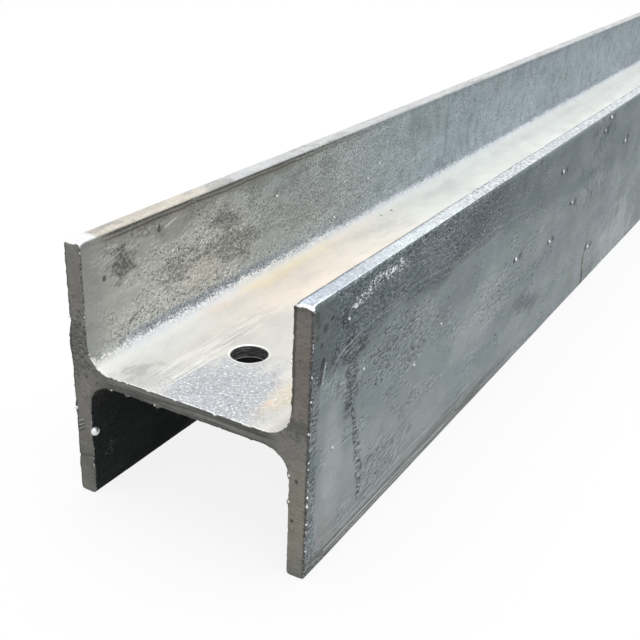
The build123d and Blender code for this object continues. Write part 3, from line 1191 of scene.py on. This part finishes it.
def sawn_zinc():
    """The sawn ends: dull taupe, with saw lines across."""
    f = Finish("sawn_zinc", (0.40, 0.385, 0.355), 0.1)
    m = f.m
    saw = f.lines((5.0, 40.0, 0.6), 0.8)
    f.stain((0, -45, 75), (9, 14, 20), (0.42, 0.36, 0.32), 0.9, 0.4, MIDDLE)
    f.stain((0, -45, 57), (9, 10, 5), (0.2, 0.2, 0.18), 0.8, 0.7)
    f.stain((0, -45, 26), (9, 14, 26), (0.51, 0.495, 0.41), 0.9, 0.4, MIDDLE)
    f.stain((0, 45, 60), (9, 12, 14), (0.22, 0.215, 0.2), 0.8, 0.8)
    f.stain((0, 45, 14), (9, 12, 16), (0.3, 0.29, 0.265), 0.8, 0.4, MIDDLE)
    side = m.math("ABSOLUTE", f.y)
    on_web = m.times(m.span(f.z, 45, 47), m.span(f.z, 54, 52), m.span(side, 39, 30))
    f.tint((0.17, 0.17, 0.155), on_web, 0.9)
    f.tint((0.46, 0.455, 0.43), on_web, m.span(saw, 0.45, 0.8), 0.8)
    f.tint((0.52, 0.5, 0.46), m.span(saw, 0.6, 1.0), 0.15)
    fringe = m.plus(side, m.times(f.shared(FINE), 1.5))
    rim = m.span(fringe, 47.3, 48)
    f.tint((0.12, 0.12, 0.115), rim, 0.8)
    inner_line = m.times(m.span(fringe, 43.0, 42.3), m.span(f.z, 60, 64), m.span(f.y, 1, -1))
    f.tint((0.1, 0.095, 0.08), inner_line, 0.75)
    f.tint((0.1, 0.095, 0.08), m.span(f.z, 95, 97.5), m.span(f.y, 1, -1), 0.55)
    f.uneven(14.0, 0.06, 0.06)
    # Three ridges on the far flange's end, each a painted highlight with a painted shadow under it
    ridge_highlight = (0.66, 0.65, 0.62)
    for lift in (0.0, 1.6, 3.2):
        f.scratch((0, 47.6, 25.2 + lift), (0, 45.2, 26.6 + lift), 0.7, (0.12, 0.12, 0.11), 0.8, 0.5, -0.1)
        f.scratch((0, 47.4, 26 + lift), (0, 45.2, 27.3 + lift), 0.45, ridge_highlight, 0.9, 0.5, -0.1)
    # Painted shade in the nick across the far flange's end
    f.scratch((0, 48, 15), (0, 42, 16.6), 0.9, (0.12, 0.12, 0.11), 0.6, 1.0, -0.1)
    for across, up in ((41.4, 77.5), (43.5, 69), (46, 48.5), (-43.2, 22), (-44.5, 37.5)):
        f.stain((0, across, up), (4, 0.9, 1.0), (0.1, 0.1, 0.095), 0.9, 0.5)
    rough = f.most(rim, f.spot((0, 45, 62), (9, 14, 22), 0.6), 0.3)
    f.grain(m.times(rough, 0.5), 1.3, 0.25)
    f.speckle(rough, 1.3, (0.1, 0.095, 0.09), 0.65, (0.7, 0.69, 0.66), 0.6)
    f.raise_by(m.times(saw, 0.04))
    return f.done(0.55, 0.72)


def pitted_zinc():
    """The broken edges of the sawn ends: dark, pitted, with bright grains."""
    f = Finish("pitted_zinc", (0.2, 0.2, 0.195), 0.2)
    f.uneven(10.0, 0.06, 0.08)
    f.grain(0.6, 1.5, 0.6)
    f.speckle(1.0, 1.6, BLACK, 0.85, (0.92, 0.93, 0.94), 0.95, 0.5)
    return f.done(0.45, 0.65)


def painted_highlight_zinc():
    """Edges that face up, and the hole's rim: near-white, a painted highlight."""
    f = Finish("painted_highlight_zinc", (0.92, 0.93, 0.93), 0.3)
    f.uneven(10.0, 0.04, 0.06)
    f.grain(0.15, 1.3, 0.15)
    f.speckle(0.3, 1.3, (0.25, 0.25, 0.25), 0.6, (0.98, 0.98, 0.98), 0.8)
    return f.done(0.36, 0.5)


def painted_shade_bore_zinc():
    """The wall of the hole: near-black, painted shade, with drill marks round it."""
    f = Finish("painted_shade_bore_zinc", (0.065, 0.065, 0.067), 0.1, 0.2)
    marks = f.lines((6.0, 6.0, 0.7), 0.8)
    f.tint((0.36, 0.36, 0.36), f.m.span(marks, 0.5, 0.95), 0.6)
    f.uneven(8.0, 0.1, 0.08)
    f.grain(0.25, 1.2, 0.25)
    f.raise_by(f.m.times(marks, 0.06))
    return f.done(0.5, 0.65)


def drop_zinc():
    """Solid drops of zinc."""
    f = Finish("drop_zinc", (0.9, 0.92, 0.92), 0.65)
    f.uneven(4.0, 0.06, 0.06)
    return f.done(0.28, 0.42)


def dress_beam():
    """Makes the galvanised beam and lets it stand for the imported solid."""
    for build in (uneven_group, grain_group, pits_group, spot_group, scratch_group, lines_group):
        build()
    drops = drop_places()
    mesh = beam_mesh(drops)
    mesh.materials.clear()
    finishes = (outer_zinc, channel_zinc, painted_shade_under_zinc, toe_zinc, sawn_zinc, pitted_zinc, painted_highlight_zinc)
    for build in finishes + (painted_shade_bore_zinc, drop_zinc):
        mesh.materials.append(build())
    give_finishes(mesh, drops)
    beam = bpy.data.objects.new("galvanised_beam", mesh)
    bpy.context.scene.collection.objects.link(beam)
    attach(beam, "root")
    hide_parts("h_beam")
    return beam


# The studio
FLOOR_SIZE = 12.0
KEY_HEIGHT = 2.4
KEY_SIZE = 3.2
KEY_WATTS = 60.0
SKY_STRENGTH = 0.5
SKY_HORIZON = 0.3
FLOOR_SHADOW_SHARE = 0.13


def seen_plainly(m):
    """1 where a surface or the sky is seen straight, in a reflection or through glass."""
    path = m.add("ShaderNodeLightPath").outputs
    both = m.math("MAXIMUM", path["Is Camera Ray"], path["Is Glossy Ray"])
    return m.math("MAXIMUM", both, path["Is Transmission Ray"])


def sky():
    """A soft, slightly cool sky that lights the beam from above, seen as plain white."""
    world = bpy.data.worlds.new("studio_sky")
    world.use_nodes = True
    world.node_tree.nodes.clear()
    m = Nodes(world.node_tree)
    up = m.add("ShaderNodeSeparateXYZ", {"Vector": m.add("ShaderNodeTexCoord").outputs["Generated"]})
    strength = m.span(up.outputs["Z"], 0.0, SKY_HORIZON, 0.0, SKY_STRENGTH)
    light = m.add("ShaderNodeBackground", {"Color": (0.94, 0.97, 1.0, 1), "Strength": strength})
    white = m.add("ShaderNodeBackground", {"Color": (1, 1, 1, 1), "Strength": 1.0})
    both = m.add("ShaderNodeMixShader", {0: seen_plainly(m), 1: light.outputs[0], 2: white.outputs[0]})
    m.add("ShaderNodeOutputWorld", {"Surface": both.outputs[0]})
    bpy.context.scene.world = world


def floor():
    """A pale floor that keeps the beam's soft shadow, and throws little light back under it."""
    bm = bmesh.new()
    bmesh.ops.create_grid(bm, x_segments=1, y_segments=1, size=FLOOR_SIZE / 2)
    mesh = bpy.data.meshes.new("floor")
    bm.to_mesh(mesh)
    bm.free()
    material = bpy.data.materials.new("pale_floor")
    material.use_nodes = True
    material.node_tree.nodes.clear()
    m = Nodes(material.node_tree)
    pale = m.add("ShaderNodeBsdfDiffuse", {"Color": (0.95, 0.95, 0.95, 1)})
    white = m.add("ShaderNodeEmission", {"Color": (1, 1, 1, 1), "Strength": 1.0})
    shown = m.add("ShaderNodeMixShader", {0: FLOOR_SHADOW_SHARE, 1: white.outputs[0], 2: pale.outputs[0]})
    dim = m.add("ShaderNodeBsdfDiffuse", {"Color": (0.1, 0.1, 0.1, 1)})
    both = m.add("ShaderNodeMixShader", {0: seen_plainly(m), 1: dim.outputs[0], 2: shown.outputs[0]})
    m.add("ShaderNodeOutputMaterial", {"Surface": both.outputs[0]})
    mesh.materials.append(material)
    ground = bpy.data.objects.new("floor", mesh)
    bpy.context.scene.collection.objects.link(ground)


def key_light():
    """One large soft lamp overhead."""
    data = bpy.data.lights.new("key", "AREA")
    data.shape = "SQUARE"
    data.size = KEY_SIZE
    data.energy = KEY_WATTS
    data.color = (1.0, 0.99, 0.97)
    lamp = bpy.data.objects.new("key", data)
    lamp.location = (0.0, 0.0, KEY_HEIGHT)
    bpy.context.scene.collection.objects.link(lamp)


# The camera stands close to the drilled end, above and to the left of the beam
CAMERA_PLACE = (DRILLED_END - 0.2249, -0.1768, 0.2152)
CAMERA_TURN = (65.12, -2.22, -59.65)
CAMERA_LENS = 55.4
SENSOR_WIDTH = 36.0
NEAREST, FARTHEST = 0.01, 50.0


def camera():
    data = bpy.data.cameras.new("camera")
    data.lens = CAMERA_LENS
    data.sensor_width = SENSOR_WIDTH
    data.clip_start = NEAREST
    data.clip_end = FARTHEST
    eye = bpy.data.objects.new("camera", data)
    eye.location = CAMERA_PLACE
    eye.rotation_euler = Euler(tuple(math.radians(a) for a in CAMERA_TURN))
    bpy.context.scene.collection.objects.link(eye)
    bpy.context.scene.camera = eye


dress_beam()
sky()
floor()
key_light()
camera()
bpy.context.scene.view_settings.view_transform = "Standard"
